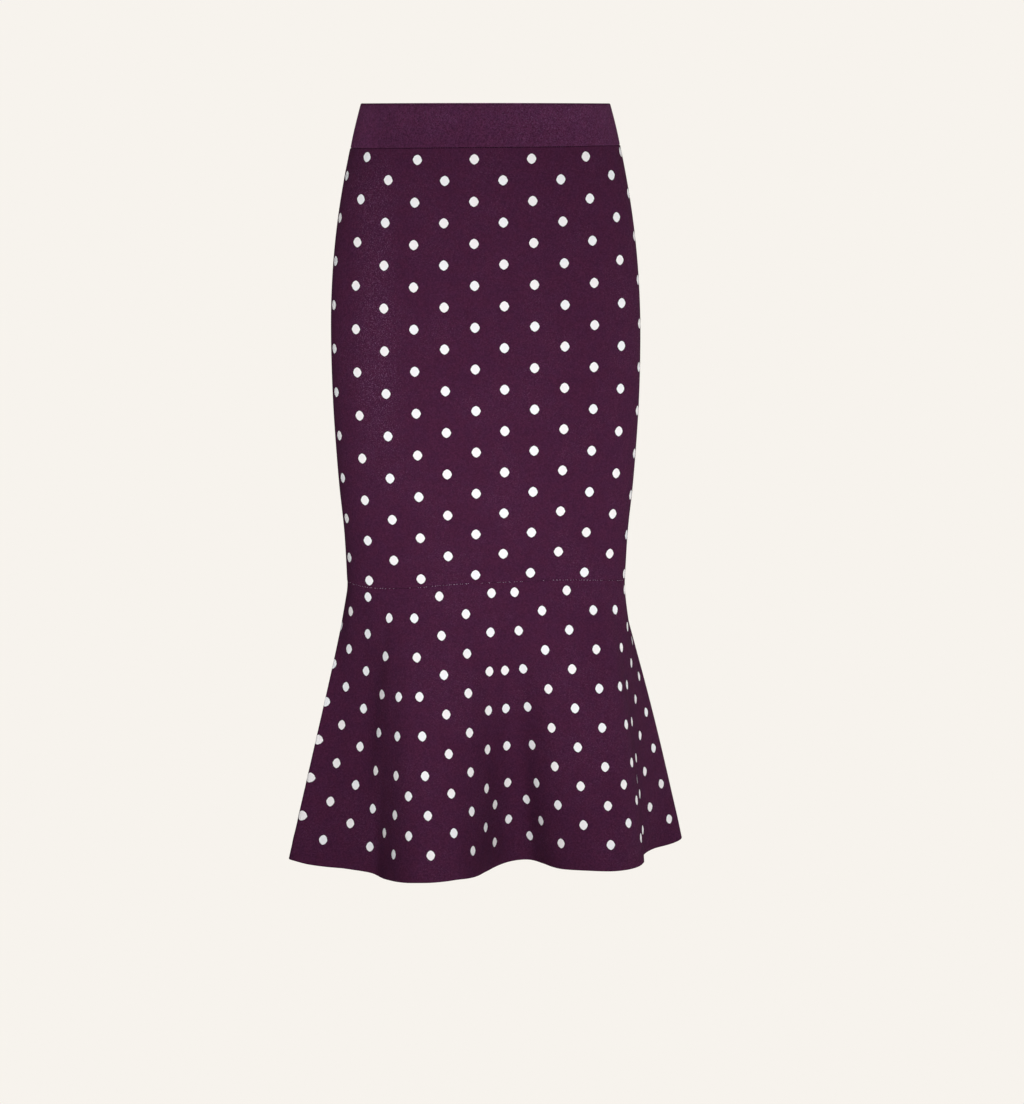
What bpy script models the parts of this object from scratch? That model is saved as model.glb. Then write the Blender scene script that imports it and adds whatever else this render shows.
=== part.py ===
"""Knitted trumpet skirt: waistband, fitted body to the knee, and a flared flounce in soft flutes.

Metres, +Z up. The origin is the centre of the waist opening, the front faces -Y and the skirt hangs down to z = -0.8.
Every piece is a wall of cloth: an outer face worked out from the sizes below, and an inner face one thickness inside it.
"""
from math import cos, pi, radians, sin

import bpy
import numpy as np

for ob in list(bpy.data.objects):
    bpy.data.objects.remove(ob, do_unlink=True)

# ---- cloth
KNIT = 0.0020          # body and flounce, one layer of double-bed jacquard
BAND = 0.0030          # waistband, a plain strip folded double
GAP = 0.0003           # between pieces that are sewn to each other

# ---- frame
WAIST_SHIFT = -0.0105  # moves the widest plane so that the waist opening is centred on the origin

# ---- body, as measured round a standing figure
# height, half width, depth in front of the widest plane, depth behind it, squareness of the front, front centre line off to +X
BODY = [
    (0.0000, 0.1307, 0.0800, 0.1010, 2.05, 0.0192),   # top edge
    (-0.0450, 0.1418, 0.0760, 0.1130, 2.15, 0.0186),  # waistband seam
    (-0.1000, 0.1524, 0.0700, 0.1190, 2.25, 0.0186),
    (-0.1500, 0.1591, 0.0660, 0.1210, 2.25, 0.0190),
    (-0.2100, 0.1633, 0.0640, 0.1195, 2.30, 0.0196),  # hip
    (-0.2700, 0.1638, 0.0640, 0.1155, 2.30, 0.0196),
    (-0.3200, 0.1624, 0.0640, 0.1110, 2.35, 0.0200),
    (-0.3600, 0.1601, 0.0640, 0.1070, 2.40, 0.0200),
    (-0.4050, 0.1567, 0.0640, 0.1020, 2.50, 0.0196),
    (-0.4500, 0.1521, 0.0610, 0.0990, 2.60, 0.0188),
    (-0.5060, 0.1491, 0.0580, 0.0985, 2.60, 0.0182),  # knee seam
]
BACK_SQUARE = 2.1

# ---- how the two seams hang, at dot columns counted from the front centre (26 columns go all round)
# column, height of the waistband seam, height of the knee seam
HANG = [
    (-9.0, -0.0470, -0.5050),
    (-6.3, -0.0468, -0.5065),
    (-4.8, -0.0463, -0.5090),
    (-3.3, -0.0460, -0.5072),
    (-1.7, -0.0455, -0.5026),
    (0.4, -0.0450, -0.5000),
    (1.9, -0.0445, -0.4986),
    (3.5, -0.0438, -0.5004),
    (5.0, -0.0434, -0.5046),
    (8.0, -0.0440, -0.5050),
    (13.0, -0.0460, -0.5040),
]
COLUMNS = 26
SIDE = 7.5             # dot columns from the front centre to a side seam

# ---- flounce, cut flat: gores of evenly spaced dot columns, and a godet after each that widens to the hem
SLANT = 0.309          # knee seam to hem, along the cloth
GODET_TOP, GODET_HEM = 0.0237, 0.1080
# columns in the gore, distance between them, from the front centre godet round to +X
GORES = [
    (4, 0.02780),
    (4, 0.02780),
    (4, 0.02505),
    (5, 0.02505),      # back centre
    (4, 0.02505),
    (4, 0.02780),
    (4, 0.02780),
]
EASE = 0.04            # how soon below the knee seam the flare sets in, as a share of the slant
HEM_START = (0.0250, -0.0300)   # the hem at the middle of the front centre godet, before WAIST_SHIFT

# ---- hem folds, walked from the front centre round to +X
# line, distance along the hem (mm), heading there (degrees, 0 is +X and 90 is +Y), belly (how much of the flare comes
# early), give (how much longer the knit hangs there, mm), push (how far back it stands, two fifths of the way down, mm)
HEM = [
    ("front godet middle", 0, 36, 0.0, 2.5, -5),
    ("front valley", 15, 0, 0.0, 2.5, -5),
    ("front valley right side", 28, -45, 0.0, 2.0, -3),
    ("front godet right edge", 54, -60, 0.0, 1.0, 3),
    ("right crest slope", 82, -35, 0.0, 1.5, -2),
    ("right crest near", 110, -16, 0.0, 1.0, -3),
    ("right crest", 137, 4, 0.0, 1.0, -3),
    ("right godet quarter", 160, 44, 0.1, 1.0, -3),
    ("right godet middle", 191, 78, 0.4, 0.5, -3),
    ("fold behind the edge", 222, 92, 0.6, 3.0, -4),
    ("right flute foot", 245, 76, 0.5, 4.0, -5),
    ("right flute side", 273, 45, -0.3, 0.0, 4),
    ("right flute face", 301, 40, -0.2, 0.0, 5),
    ("right tip near", 312, 55, 0.0, 0.0, 3),
    ("right tip", 318, 112, 0.2, 0.0, 2),
    ("right tip behind", 325, 155, 0.3, 0.0, 2),
    ("right side valley near", 348, 164, 0.2, 0.0, 2),
    ("right side valley", 383, 130, 0.0, 0.0, -2),
    ("right side valley far", 412, 88, 0.0, 0.0, -3),
    ("back right crest", 474, 157, 0.0, 0.0, 3),
    ("back right valley near", 532, 227, 0.0, 0.0, -2),
    ("back right valley", 566, 177, 0.0, 0.0, -5),
    ("back right valley far", 600, 134, 0.0, 0.0, -3),
    ("back centre crest", 670, 197, 0.0, 0.0, 0),
    ("back left valley near", 742, 262, 0.0, 0.0, 0),
    ("back left valley", 774, 219, 0.0, 0.0, 0),
    ("back left valley far", 806, 172, 0.0, 0.0, 0),
    ("back left crest", 866, 240, 0.0, 0.0, 0),
    ("left side valley near", 922, 300, 0.0, 0.0, 0),
    ("left side valley", 957, 255, 0.0, 0.0, 0),
    ("left side valley far", 990, 196, 0.0, 0.0, 0),
    ("left tip behind", 1000, 215, 0.0, 0.0, 0),
    ("left tip", 1005, 290, 0.0, 0.0, 0),
    ("left flute edge", 1010, 348, 0.0, 0.0, 1),
    ("left flute face", 1020, 353, -0.3, -1.0, 2),
    ("left flute middle", 1039, 356, -0.9, -3.0, 3),
    ("left flute side", 1067, 345, -1.0, -5.5, 6),
    ("left flute inner", 1078, 347, -0.7, -5.0, 6),
    ("left flute foot", 1087, 352, -0.3, -4.0, 3),
    ("left valley near", 1095, 358, 0.3, -2.5, -2),
    ("left valley", 1099, 344, 0.4, -2.0, -5),
    ("left valley far", 1103, 316, 0.4, -1.0, -7),
    ("left godet border", 1109, 297, 0.3, 0.0, -9),
    ("left godet quarter", 1126, 295, 0.1, 0.0, -9),
    ("left godet middle", 1149, 300, 0.0, 0.0, -8),
    ("left godet far quarter", 1177, 327, 0.0, 1.0, -6),
    ("left crest", 1203, 365, 0.0, 1.5, -4),
    ("left crest near", 1231, 400, 0.0, 0.5, -4),
    ("left crest slope", 1258, 420, 0.0, 1.5, -3),
    ("front godet left edge", 1286, 430, 0.0, 1.5, 3),
    ("front valley left side", 1312, 424, 0.0, 2.0, -3),
]
CLOSE_FROM, CLOSE_TO = 0.33, 1.00   # the stretch of hem, round the back, that takes up the rounding of the headings


# ---------------------------------------------------------------- curves
def smooth(xs, ys, x):
    """A smooth curve through the rows (xs, ys), read at x."""
    xs, ys, x = (np.asarray(v, float) for v in (xs, ys, x))
    step = np.diff(xs)
    rise = np.diff(ys) / step
    slope = np.empty_like(ys)
    slope[1:-1] = (rise[:-1] * step[1:] + rise[1:] * step[:-1]) / (xs[2:] - xs[:-2])
    slope[0], slope[-1] = rise[0], rise[-1]
    i = np.clip(np.searchsorted(xs, x, side="right") - 1, 0, len(xs) - 2)
    h, t = step[i], (x - xs[i]) / step[i]
    return ((1 + 2 * t) * (1 - t) ** 2 * ys[i] + t * (1 - t) ** 2 * h * slope[i]
            + t * t * (3 - 2 * t) * ys[i + 1] + t * t * (t - 1) * h * slope[i + 1])


def oval(half, front, back, square):
    """A closed level section, from the front middle round to +X: distances along it, and its points."""
    f = np.linspace(0, 2 * pi, 1441) - pi / 2
    c, s = np.cos(f), np.sin(f)
    power = np.where(s < 0, 2 / square, 2 / BACK_SQUARE)
    p = np.column_stack([half * np.sign(c) * np.abs(c) ** power,
                         np.where(s < 0, front, back) * np.sign(s) * np.abs(s) ** power])
    return np.concatenate([[0], np.cumsum(np.linalg.norm(np.diff(p, axis=0), axis=1))]), p


def level(z, column):
    """Points of the body's section at height z, at dot columns counted from the front centre."""
    up = [row[0] for row in BODY][::-1]
    half, front, back, square, off = (float(smooth(up, [row[k] for row in BODY][::-1], z)) for k in range(1, 6))
    s, p = oval(half, front, back, square)
    q = (np.interp(off, p[:240, 0], s[:240]) + np.asarray(column) / COLUMNS * s[-1]) % s[-1]
    return np.column_stack([np.interp(q, s, p[:, 0]), np.interp(q, s, p[:, 1])])


def hang(column):
    """Heights of the waistband seam and the knee seam at a dot column."""
    c = (np.asarray(column, float) + 9.0) % COLUMNS - 9.0
    at = [row[0] for row in HANG] + [HANG[0][0] + COLUMNS]
    return [smooth(at, [row[k] for row in HANG] + [HANG[0][k]], c) for k in (1, 2)]


# ---------------------------------------------------------------- body
def body_point(column, down):
    """down: 0 at the waistband seam, 1 at the knee seam. Above 0 it runs on to the top edge at -1."""
    column, down = np.asarray(column, float), np.asarray(down, float)
    waist, knee = hang(column)
    z = np.where(down < 0, waist * (1 + down), waist + (knee - waist) * down)
    out = np.empty((len(z), 3))
    for k, zz in enumerate(z):
        out[k, :2] = level(zz, column[k:k + 1])[0]
    out[:, 2] = z
    return out


# ---------------------------------------------------------------- flounce
def cut_marks():
    """Distances of the dot columns from the front centre, at the knee seam and at the hem of the flat cut."""
    top, hem = [0.0, GODET_TOP / 2], [0.0, GODET_HEM / 2]
    for n, (columns, apart) in enumerate(GORES):
        for _ in range(columns - 1):
            top.append(top[-1] + apart)
            hem.append(hem[-1] + apart)
        last = n == len(GORES) - 1
        top.append(top[-1] + GODET_TOP / (2 if last else 1))
        hem.append(hem[-1] + GODET_HEM / (2 if last else 1))
    return np.array(top), np.array(hem)


TOP, FOOT = cut_marks()


def hem_line():
    """The hem in plan, walked along its headings: distances, x, y, belly, give, push."""
    at = [row[1] / 1000 for row in HEM]
    to = [radians(row[2]) for row in HEM]
    belly = [row[3] for row in HEM]
    give = [row[4] / 1000 for row in HEM]
    push = [row[5] / 1000 for row in HEM]
    total = FOOT[-1]
    at = [a - total for a in at[-3:]] + at + [a + total for a in at[:3]]
    to = [h - 2 * pi for h in to[-3:]] + to + [h + 2 * pi for h in to[:3]]
    belly = belly[-3:] + belly + belly[:3]
    give = give[-3:] + give + give[:3]
    push = push[-3:] + push + push[:3]
    s = np.linspace(0, total, 4001)
    h = smooth(at, to, (s[1:] + s[:-1]) / 2)
    x = HEM_START[0] + np.concatenate([[0], np.cumsum(np.cos(h) * total / 4000)])
    y = HEM_START[1] + np.concatenate([[0], np.cumsum(np.sin(h) * total / 4000)])
    w = np.clip((s - CLOSE_FROM) / (CLOSE_TO - CLOSE_FROM), 0, 1)
    w = w * w * (3 - 2 * w)
    return (s, x - (x[-1] - x[0]) * w, y - (y[-1] - y[0]) * w, np.interp(s, at, belly), np.interp(s, at, give),
            smooth(at, push, s))


LINE = hem_line()


def flounce_point(along, down):
    """along: distance from the front centre on the knee seam of the flat cut. down: 0 at the seam, 1 at the hem."""
    along, down = np.asarray(along, float), np.asarray(down, float)
    share = along / TOP[-1]
    knee = hang(share * COLUMNS)[1]
    start = level(BODY[-1][0], share * COLUMNS)
    s, x, y, belly, give, push = LINE
    foot = np.interp(along % TOP[-1], TOP, FOOT)
    end = np.column_stack([np.interp(foot, s, x), np.interp(foot, s, y)])
    early = np.interp(foot, s, belly)
    length = SLANT * down + np.interp(foot, s, give) * down * (2 - down)
    grow = (np.sqrt(down ** 2 + EASE ** 2) - EASE) / (np.sqrt(1 + EASE ** 2) - EASE) + early * down * (1 - down)
    out = start + grow[:, None] * (end - start)
    out[:, 1] += np.interp(foot, s, push) * np.sin(pi * down ** 0.8) ** 2
    reach = np.linalg.norm(out - start, axis=1)
    return np.column_stack([out, knee - np.sqrt(np.maximum(length ** 2 - reach ** 2, 0))])


# ---------------------------------------------------------------- walls
def wall(name, point, across, downs, thickness, colour, rough):
    """A cloth panel between two side edges: outer face from point(across, down), inner face one thickness inside."""
    nu, nv = len(across), len(downs)
    u, v = np.meshgrid(across, downs)
    u, v = u.ravel(), v.ravel()
    eu, ev = (across[-1] - across[0]) * 1e-4, (downs[-1] - downs[0]) * 1e-3
    outer = point(u, v)
    du = point(u + eu, v) - point(u - eu, v)
    vl, vh = np.clip(v - ev, min(downs), max(downs)), np.clip(v + ev, min(downs), max(downs))
    dv = point(u, vh) - point(u, vl)
    n = np.cross(dv, du)
    n /= np.linalg.norm(n, axis=1)[:, None]
    inner = outer - n * thickness
    for edge, sign in ((slice(0, nu), 1), (slice((nv - 1) * nu, nv * nu), 1)):
        inner[edge, 2] = outer[edge, 2] * sign           # the top and bottom edges are cut level
    verts = np.vstack([outer, inner])
    verts[:, 1] += WAIST_SHIFT
    k = nu * nv
    faces = []
    for j in range(nv - 1):
        for i in range(nu - 1):
            a, b, c, d = j * nu + i, j * nu + i + 1, (j + 1) * nu + i + 1, (j + 1) * nu + i
            faces.append((a, d, c, b))
            faces.append((k + a, k + b, k + c, k + d))
    for i in range(nu - 1):
        a, b = i, i + 1
        faces.append((a, b, k + b, k + a))
        a, b = (nv - 1) * nu + i, (nv - 1) * nu + i + 1
        faces.append((a, k + a, k + b, b))
    for j in range(nv - 1):
        a, d = j * nu, (j + 1) * nu
        faces.append((a, k + a, k + d, d))
        b, c = j * nu + nu - 1, (j + 1) * nu + nu - 1
        faces.append((b, c, k + c, k + b))
    mesh = bpy.data.meshes.new(name)
    mesh.from_pydata(verts.tolist(), [], faces)
    mesh.update()
    mesh.shade_smooth()
    mesh.set_sharp_from_angle(angle=radians(40))
    ob = bpy.data.objects.new(name, mesh)
    bpy.context.scene.collection.objects.link(ob)
    mat = bpy.data.materials.new(name)
    mat.use_nodes = True
    bsdf = mat.node_tree.nodes["Principled BSDF"]
    bsdf.inputs["Base Color"].default_value = (*colour, 1)
    bsdf.inputs["Roughness"].default_value = rough
    bsdf.inputs["Metallic"].default_value = 0.0
    mesh.materials.append(mat)
    return ob


def split(marks, parts):
    """Marks with each gap cut into its number of equal parts."""
    out = [marks[0]]
    for a, b, n in zip(marks[:-1], marks[1:], parts):
        out += [a + (b - a) * (k + 1) / n for k in range(n)]
    return np.array(out)


PLUM, BAND_PLUM = (0.063, 0.013, 0.042), (0.068, 0.017, 0.047)
GIRTH_KNEE = TOP[-1]
side_gap = GAP / 2 / (GIRTH_KNEE / COLUMNS)            # half a gap, in dot columns at the narrowest level

# waistband: a strip right round, its ends meeting at the side seam on -X
wall("waistband", body_point, np.linspace(-SIDE + side_gap, COLUMNS - SIDE - side_gap, 61),
     np.array([-1.0, -0.5, -GAP / 0.045]), BAND, BAND_PLUM, 0.85)

# body: panels from side seam to side seam
body_downs = np.array([GAP / 0.455, 0.06, 0.14, 0.23, 0.33, 0.45, 0.57, 0.69, 0.80, 0.90, 1 - GAP / 0.455])
wall("body_front", body_point, np.linspace(-SIDE + side_gap, SIDE - side_gap, 37), body_downs, KNIT, PLUM, 0.85)
wall("body_back", body_point, np.linspace(SIDE + side_gap, COLUMNS - SIDE - side_gap, 27), body_downs, KNIT, PLUM, 0.85)

# flounce: the side seams run down the middle of the side godets
n_front = GORES[0][0] + GORES[1][0]                    # columns from the front centre to the side godet
side_top = TOP[n_front] + GODET_TOP / 2
far_top = TOP[-1] - side_top
flounce_downs = np.array([GAP / SLANT, 0.04, 0.10, 0.20, 0.32, 0.46, 0.60, 0.74, 0.87, 1.0])
half_godet, between = 6, 2


def gore_parts(gores, first_half, last_half):
    """Parts for each gap between marks: the godets are cut finer than the gores."""
    parts = [half_godet] if first_half else []
    for n, (columns, _) in enumerate(gores):
        parts += [between] * (columns - 1)
        if n < len(gores) - 1:
            parts.append(2 * half_godet - 2)
    return parts + ([half_godet] if last_half else [])


right = [side_top] + list(TOP[n_front + 1:-n_front - 1]) + [far_top]
front = ([side_top - TOP[-1] + far_top - side_top] + [t - TOP[-1] for t in TOP[-n_front - 1:-1]]
         + list(TOP[1:n_front + 1]) + [side_top])
front_marks = split(front, gore_parts(GORES[5:] + GORES[:2], True, True))
back_marks = split(right, gore_parts(GORES[2:5], True, True))
front_marks[0] += GAP / 2
front_marks[-1] -= GAP / 2
back_marks[0] += GAP / 2
back_marks[-1] -= GAP / 2
wall("flounce_front", flounce_point, front_marks, flounce_downs, KNIT, PLUM, 0.85)
wall("flounce_back", flounce_point, back_marks, flounce_downs, KNIT, PLUM, 0.85)
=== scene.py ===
"""Knitted trumpet skirt, filled out as if worn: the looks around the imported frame.

Metres, +Z up, the same frame as the CAD. Each cloth panel is a thin closed shell on the form of its CAD wall, with
rounded edges, seams sunk between the panels, and a knit that follows the cloth: its wales run down the gores.
"""

from math import cos, pi, radians, sin

import bpy
import numpy as np
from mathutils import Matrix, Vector


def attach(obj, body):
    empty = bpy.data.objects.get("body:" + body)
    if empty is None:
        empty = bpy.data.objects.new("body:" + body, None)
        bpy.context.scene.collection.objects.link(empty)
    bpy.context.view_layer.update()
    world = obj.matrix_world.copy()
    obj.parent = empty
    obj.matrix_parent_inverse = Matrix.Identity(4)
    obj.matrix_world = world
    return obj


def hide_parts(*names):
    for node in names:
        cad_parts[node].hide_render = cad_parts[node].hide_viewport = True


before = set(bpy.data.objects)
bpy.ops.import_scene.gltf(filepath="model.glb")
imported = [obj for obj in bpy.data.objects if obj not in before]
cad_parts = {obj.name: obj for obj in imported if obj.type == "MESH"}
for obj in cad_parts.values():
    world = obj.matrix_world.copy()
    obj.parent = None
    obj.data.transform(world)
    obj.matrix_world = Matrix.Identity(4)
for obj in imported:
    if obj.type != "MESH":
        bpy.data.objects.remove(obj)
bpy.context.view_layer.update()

# ------------------------------------------------------------------------------------------------ sizes, as in the CAD
KNIT = 0.0020
BAND = 0.0030
WAIST_SHIFT = -0.0105
BODY = [
    (0.0000, 0.1307, 0.0800, 0.1010, 2.05, 0.0192),
    (-0.0450, 0.1418, 0.0760, 0.1130, 2.15, 0.0186),
    (-0.1000, 0.1524, 0.0700, 0.1190, 2.25, 0.0186),
    (-0.1500, 0.1591, 0.0660, 0.1210, 2.25, 0.0190),
    (-0.2100, 0.1633, 0.0640, 0.1195, 2.30, 0.0196),
    (-0.2700, 0.1638, 0.0640, 0.1155, 2.30, 0.0196),
    (-0.3200, 0.1624, 0.0640, 0.1110, 2.35, 0.0200),
    (-0.3600, 0.1601, 0.0640, 0.1070, 2.40, 0.0200),
    (-0.4050, 0.1567, 0.0640, 0.1020, 2.50, 0.0196),
    (-0.4500, 0.1521, 0.0610, 0.0990, 2.60, 0.0188),
    (-0.5060, 0.1491, 0.0580, 0.0985, 2.60, 0.0182),
]
BACK_SQUARE = 2.1
HANG = [
    (-9.0, -0.0470, -0.5050),
    (-6.3, -0.0468, -0.5065),
    (-4.8, -0.0463, -0.5090),
    (-3.3, -0.0460, -0.5072),
    (-1.7, -0.0455, -0.5026),
    (0.4, -0.0450, -0.5000),
    (1.9, -0.0445, -0.4986),
    (3.5, -0.0438, -0.5004),
    (5.0, -0.0434, -0.5046),
    (8.0, -0.0440, -0.5050),
    (13.0, -0.0460, -0.5040),
]
COLUMNS = 26
SIDE = 7.5
SLANT = 0.309
GODET_TOP, GODET_HEM = 0.0237, 0.1080
GORES = [(4, 0.02780), (4, 0.02780), (4, 0.02505), (5, 0.02505), (4, 0.02505), (4, 0.02780), (4, 0.02780)]
EASE = 0.04
HEM_START = (0.0250, -0.0300)
HEM = [  # distance along the hem (mm), heading there (degrees), belly, give (mm), push (mm)
    (0, 36, 0.0, 2.5, -5), (15, 0, 0.0, 2.5, -5), (28, -45, 0.0, 2.0, -3), (54, -60, 0.0, 1.0, 3),
    (82, -35, 0.0, 1.5, -2), (110, -16, 0.0, 1.0, -3), (137, 4, 0.0, 1.0, -3), (160, 44, 0.1, 1.0, -3),
    (191, 78, 0.4, 0.5, -3), (222, 92, 0.6, 3.0, -4), (245, 76, 0.5, 4.0, -5), (273, 45, -0.3, 0.0, 4),
    (301, 40, -0.2, 0.0, 5), (312, 55, 0.0, 0.0, 3), (318, 112, 0.2, 0.0, 2), (325, 155, 0.3, 0.0, 2),
    (348, 164, 0.2, 0.0, 2), (383, 130, 0.0, 0.0, -2), (412, 88, 0.0, 0.0, -3), (474, 157, 0.0, 0.0, 3),
    (532, 227, 0.0, 0.0, -2), (566, 177, 0.0, 0.0, -5), (600, 134, 0.0, 0.0, -3), (670, 197, 0.0, 0.0, 0),
    (742, 262, 0.0, 0.0, 0), (774, 219, 0.0, 0.0, 0), (806, 172, 0.0, 0.0, 0), (866, 240, 0.0, 0.0, 0),
    (922, 300, 0.0, 0.0, 0), (957, 255, 0.0, 0.0, 0), (990, 196, 0.0, 0.0, 0), (1000, 215, 0.0, 0.0, 0),
    (1005, 290, 0.0, 0.0, 0), (1010, 348, 0.0, 0.0, 1), (1020, 353, -0.3, -1.0, 2), (1039, 356, -0.9, -3.0, 3),
    (1067, 345, -1.0, -5.5, 6), (1078, 347, -0.7, -5.0, 6), (1087, 352, -0.3, -4.0, 3), (1095, 358, 0.3, -2.5, -2),
    (1099, 344, 0.4, -2.0, -5), (1103, 316, 0.4, -1.0, -7), (1109, 297, 0.3, 0.0, -9), (1126, 295, 0.1, 0.0, -9),
    (1149, 300, 0.0, 0.0, -8), (1177, 327, 0.0, 1.0, -6), (1203, 365, 0.0, 1.5, -4), (1231, 400, 0.0, 0.5, -4),
    (1258, 420, 0.0, 1.5, -3), (1286, 430, 0.0, 1.5, 3), (1312, 424, 0.0, 2.0, -3),
]
CLOSE_FROM, CLOSE_TO = 0.33, 1.00
BODY_LENGTH = 0.4555       # waistband seam to knee seam, along the cloth

# ------------------------------------------------------------------------------------------------ the knit
WALE, COURSE = 0.00139, 0.00118          # width and height of a stitch
COLUMN_WIDTH = 0.0300                    # dot column to dot column in the body
DOT_WIDE, DOT_TALL = 0.0088, 0.0103
STRETCHED = 1.09                         # the body is drawn tight round, so its dots are this much wider
ROW_FIRST, ROW_PITCH, ROWS = 0.0262, 0.0477, 21
A_FIRST, B_FIRST, HALF_PITCH_ROW = 0.0110, 0.0317, 0.0415
# which of the two staggered sets each flounce column follows, from the front centre round to +X, gore by gore
PHASES = ["abab", "baba", "abab", "babab", "baba", "abab", "baba"]


# ------------------------------------------------------------------------------------------------ curves
def smooth(xs, ys, x):
    """A smooth curve through the rows (xs, ys), read at x."""
    xs, ys, x = (np.asarray(v, float) for v in (xs, ys, x))
    step = np.diff(xs)
    rise = np.diff(ys) / step
    slope = np.empty_like(ys)
    slope[1:-1] = (rise[:-1] * step[1:] + rise[1:] * step[:-1]) / (xs[2:] - xs[:-2])
    slope[0], slope[-1] = rise[0], rise[-1]
    i = np.clip(np.searchsorted(xs, x, side="right") - 1, 0, len(xs) - 2)
    h, t = step[i], (x - xs[i]) / step[i]
    return ((1 + 2 * t) * (1 - t) ** 2 * ys[i] + t * (1 - t) ** 2 * h * slope[i]
            + t * t * (3 - 2 * t) * ys[i + 1] + t * t * (t - 1) * h * slope[i + 1])


def oval(half, front, back, square):
    f = np.linspace(0, 2 * pi, 1441) - pi / 2
    c, s = np.cos(f), np.sin(f)
    power = np.where(s < 0, 2 / square, 2 / BACK_SQUARE)
    p = np.column_stack([half * np.sign(c) * np.abs(c) ** power,
                         np.where(s < 0, front, back) * np.sign(s) * np.abs(s) ** power])
    return np.concatenate([[0], np.cumsum(np.linalg.norm(np.diff(p, axis=0), axis=1))]), p


def section(z, column):
    up = [row[0] for row in BODY][::-1]
    half, front, back, square, off = (float(smooth(up, [row[k] for row in BODY][::-1], z)) for k in range(1, 6))
    s, p = oval(half, front, back, square)
    q = (np.interp(off, p[:240, 0], s[:240]) + np.asarray(column) / COLUMNS * s[-1]) % s[-1]
    return np.column_stack([np.interp(q, s, p[:, 0]), np.interp(q, s, p[:, 1])])


def hang(column):
    c = (np.asarray(column, float) + 9.0) % COLUMNS - 9.0
    at = [row[0] for row in HANG] + [HANG[0][0] + COLUMNS]
    return [smooth(at, [row[k] for row in HANG] + [HANG[0][k]], c) for k in (1, 2)]


def lookup(table, row, column):
    """Reads a table of points between its rows and columns. The columns run once round and close."""
    r = np.clip(row, 0, table.shape[0] - 1.0001)
    c = np.mod(column, table.shape[1])
    i, j = r.astype(int), c.astype(int)
    a, b = (r - i)[..., None], (c - j)[..., None]
    k = (j + 1) % table.shape[1]
    j = j % table.shape[1]
    return ((table[i, j] * (1 - b) + table[i, k] * b) * (1 - a) + (table[i + 1, j] * (1 - b) + table[i + 1, k] * b) * a)


def rounded(ring, radius):
    """A closed line with its corners rounded off over about the radius, on both sides of each point."""
    n = 4096
    closed = np.vstack([ring, ring[:1]])
    s = np.concatenate([[0], np.cumsum(np.linalg.norm(np.diff(closed, axis=0), axis=1))])
    even = np.linspace(0, s[-1], n, endpoint=False)
    f = np.fft.fftfreq(n, s[-1] / n)
    keep = np.exp(-2 * (pi * radius * f) ** 2)
    out = np.empty_like(ring)
    for k in range(3):
        line = np.interp(even, s, closed[:, k])
        soft = np.fft.ifft(np.fft.fft(line) * keep).real
        out[:, k] = np.interp(s[:-1], np.append(even, s[-1]), np.append(soft, soft[0]))
    return out


# body: one table of level sections
Z_LOW, Z_ROWS, AROUND = -0.512, 257, 2080
SECTIONS = np.stack([section(z, np.arange(AROUND) / AROUND * COLUMNS) for z in np.linspace(0, Z_LOW, Z_ROWS)])


def body_point(column, down):
    """down: 0 at the waistband seam, 1 at the knee seam, and -1 at the top edge."""
    waist, knee = hang(column)
    z = np.where(down < 0, waist * (1 + down), waist + (knee - waist) * down)
    xy = lookup(SECTIONS, z / Z_LOW * (Z_ROWS - 1), column / COLUMNS * AROUND)
    return np.concatenate([xy, z[..., None]], -1)


def cut_marks():
    top, hem = [0.0, GODET_TOP / 2], [0.0, GODET_HEM / 2]
    for n, (columns, apart) in enumerate(GORES):
        for _ in range(columns - 1):
            top.append(top[-1] + apart)
            hem.append(hem[-1] + apart)
        last = n == len(GORES) - 1
        top.append(top[-1] + GODET_TOP / (2 if last else 1))
        hem.append(hem[-1] + GODET_HEM / (2 if last else 1))
    return np.array(top), np.array(hem)


TOP, FOOT = cut_marks()
ROUND_TOP = TOP[-1]


def hem_line():
    at = [row[0] / 1000 for row in HEM]
    to = [radians(row[1]) for row in HEM]
    belly = [row[2] for row in HEM]
    give = [row[3] / 1000 for row in HEM]
    push = [row[4] / 1000 for row in HEM]
    total = FOOT[-1]
    at = [a - total for a in at[-3:]] + at + [a + total for a in at[:3]]
    to = [h - 2 * pi for h in to[-3:]] + to + [h + 2 * pi for h in to[:3]]
    belly = belly[-3:] + belly + belly[:3]
    give = give[-3:] + give + give[:3]
    push = push[-3:] + push + push[:3]
    s = np.linspace(0, total, 4001)
    h = smooth(at, to, (s[1:] + s[:-1]) / 2)
    x = HEM_START[0] + np.concatenate([[0], np.cumsum(np.cos(h) * total / 4000)])
    y = HEM_START[1] + np.concatenate([[0], np.cumsum(np.sin(h) * total / 4000)])
    w = np.clip((s - CLOSE_FROM) / (CLOSE_TO - CLOSE_FROM), 0, 1)
    w = w * w * (3 - 2 * w)
    return (s, x - (x[-1] - x[0]) * w, y - (y[-1] - y[0]) * w, np.interp(s, at, belly), np.interp(s, at, give),
            smooth(at, push, s))


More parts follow.
